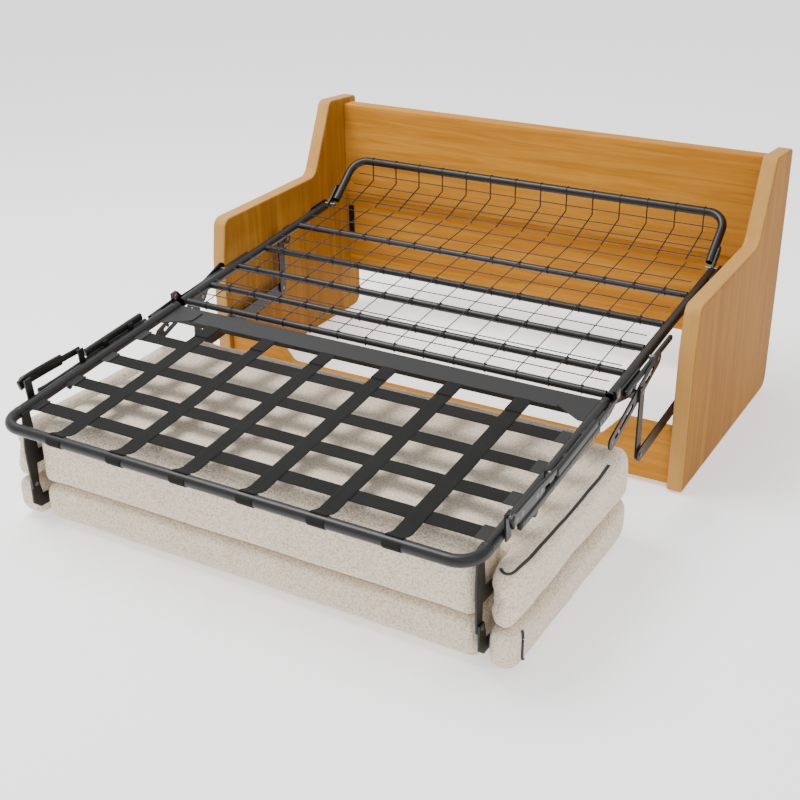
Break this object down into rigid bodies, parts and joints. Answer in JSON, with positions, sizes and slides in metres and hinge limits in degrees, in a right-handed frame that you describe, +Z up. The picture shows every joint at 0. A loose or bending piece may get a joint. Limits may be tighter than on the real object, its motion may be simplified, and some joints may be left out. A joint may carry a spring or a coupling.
{
  "type": "sleeper_sofa",
  "caption": "Two-seat sleeper sofa opened into a bed: oak carcass, steel folding frame with wire net and webbing, tweed seat block.",
  "frame": {"origin": "middle of the opened sofa's footprint, on the floor", "axes": "+X to the right of someone who faces the sofa, +Y from the bed's foot end to the back board, +Z up"},
  "size_m": [1.7, 2.0028, 0.8558],
  "materials": {
    "oak": "satin honey oak board",
    "steel": "graphite powder coat",
    "zinc": "zinc plated pins",
    "webbing": "woven dark grey strap",
    "tweed": "oatmeal tweed cover",
    "plastic": "black glide"
  },
  "bodies": {
    "carcass": {"side_panel_left": "oak", "side_panel_right": "oak", "back_board_upper": "oak", "back_board_lower": "oak", "front_rail": "oak", "floor_glides": "plastic", "back_corner_brackets": "steel", "wall_bar_left": "steel", "wall_bar_right": "steel", "wall_spacers": "zinc", "arm_low_pins": "zinc"},
    "front_arms": {"front_swing_arm_left": "steel", "front_swing_arm_right": "steel"},
    "rear_arms": {"rear_swing_arm_left": "steel", "rear_swing_arm_right": "steel"},
    "deck": {"deck_rail_left": "steel", "deck_rail_right": "steel", "deck_cross_tubes": "steel", "deck_front_plate_left": "steel", "deck_front_plate_right": "steel", "deck_rear_plates": "steel", "head_cheeks": "steel", "slotted_link_left": "steel", "slotted_link_right": "steel", "deck_pins": "zinc", "link_studs": "zinc", "head_pins": "zinc", "deck_long_wires": "steel", "deck_cross_wires": "steel"},
    "headrest": {"head_hoop": "steel", "hoop_lugs": "steel", "head_drop_wires": "steel", "head_long_wires": "steel", "head_cross_wires": "steel"},
    "foot": {"foot_frame": "steel", "fold_band": "steel", "band_gussets": "steel", "cross_straps": "webbing", "long_straps": "webbing", "strap_hooks": "steel", "foot_hinge_plate_left": "steel", "foot_hinge_plate_right": "steel", "sleeve_tube_left": "steel", "sleeve_tube_right": "steel", "sleeve_brackets": "steel", "hinge_packers": "steel", "lever_plate_left": "steel", "lever_plate_right": "steel", "lever_links": "steel", "lever_brackets": "steel", "lever_studs": "zinc", "seat_cushion": "tweed", "seat_brackets": "steel", "backrest_pins": "zinc", "kick_tab_pins": "zinc"},
    "back_layer": {"back_cushion": "tweed", "pad_brackets": "steel"},
    "kick_left": {"kick_tab_left": "steel"},
    "kick_right": {"kick_tab_right": "steel"}
  },
  "joints": [
    {"name": "front_arms_swing", "type": "hinge", "parent": "carcass", "child": "front_arms", "pos_m": [0, -0.06436, 0.21311], "axis": [-1, 0, 0], "range_deg": [0, 90]},
    {"name": "rear_arms_swing", "type": "hinge", "parent": "carcass", "child": "rear_arms", "pos_m": [0, 0.42903, 0.26392], "axis": [-1, 0, 0], "range_deg": [0, 90]},
    {"name": "deck_level", "type": "hinge", "parent": "front_arms", "child": "deck", "pos_m": [0, -0.06436, 0.40311], "axis": [-1, 0, 0], "range_deg": [-90, 0]},
    {"name": "head_tilt", "type": "hinge", "parent": "deck", "child": "headrest", "pos_m": [0, 0.67681, 0.51764], "axis": [1, 0, 0], "range_deg": [0, 72]},
    {"name": "foot_fold", "type": "hinge", "parent": "deck", "child": "foot", "pos_m": [0, -0.19564, 0.44789], "axis": [-1, 0, 0], "range_deg": [0, 180]},
    {"name": "back_turn", "type": "hinge", "parent": "foot", "child": "back_layer", "pos_m": [0, -0.90959, 0.1302], "axis": [-1, 0, 0], "range_deg": [0, 90]},
    {"name": "kick_left_turn", "type": "hinge", "parent": "foot", "child": "kick_left", "pos_m": [0, -0.67326, 0.38061], "axis": [1, 0, 0], "range_deg": [-8, 30]},
    {"name": "kick_right_turn", "type": "hinge", "parent": "foot", "child": "kick_right", "pos_m": [0, -0.67326, 0.38061], "axis": [1, 0, 0], "range_deg": [-8, 30]}
  ],
  "couplings": [
    {"joint": "front_arms_swing", "follows": "foot_fold", "ratio": 0.5},
    {"joint": "rear_arms_swing", "follows": "foot_fold", "ratio": 0.5},
    {"joint": "deck_level", "follows": "foot_fold", "ratio": -0.5},
    {"joint": "head_tilt", "follows": "foot_fold", "ratio": 0.4},
    {"joint": "back_turn", "follows": "foot_fold", "ratio": 0.5}
  ]
}
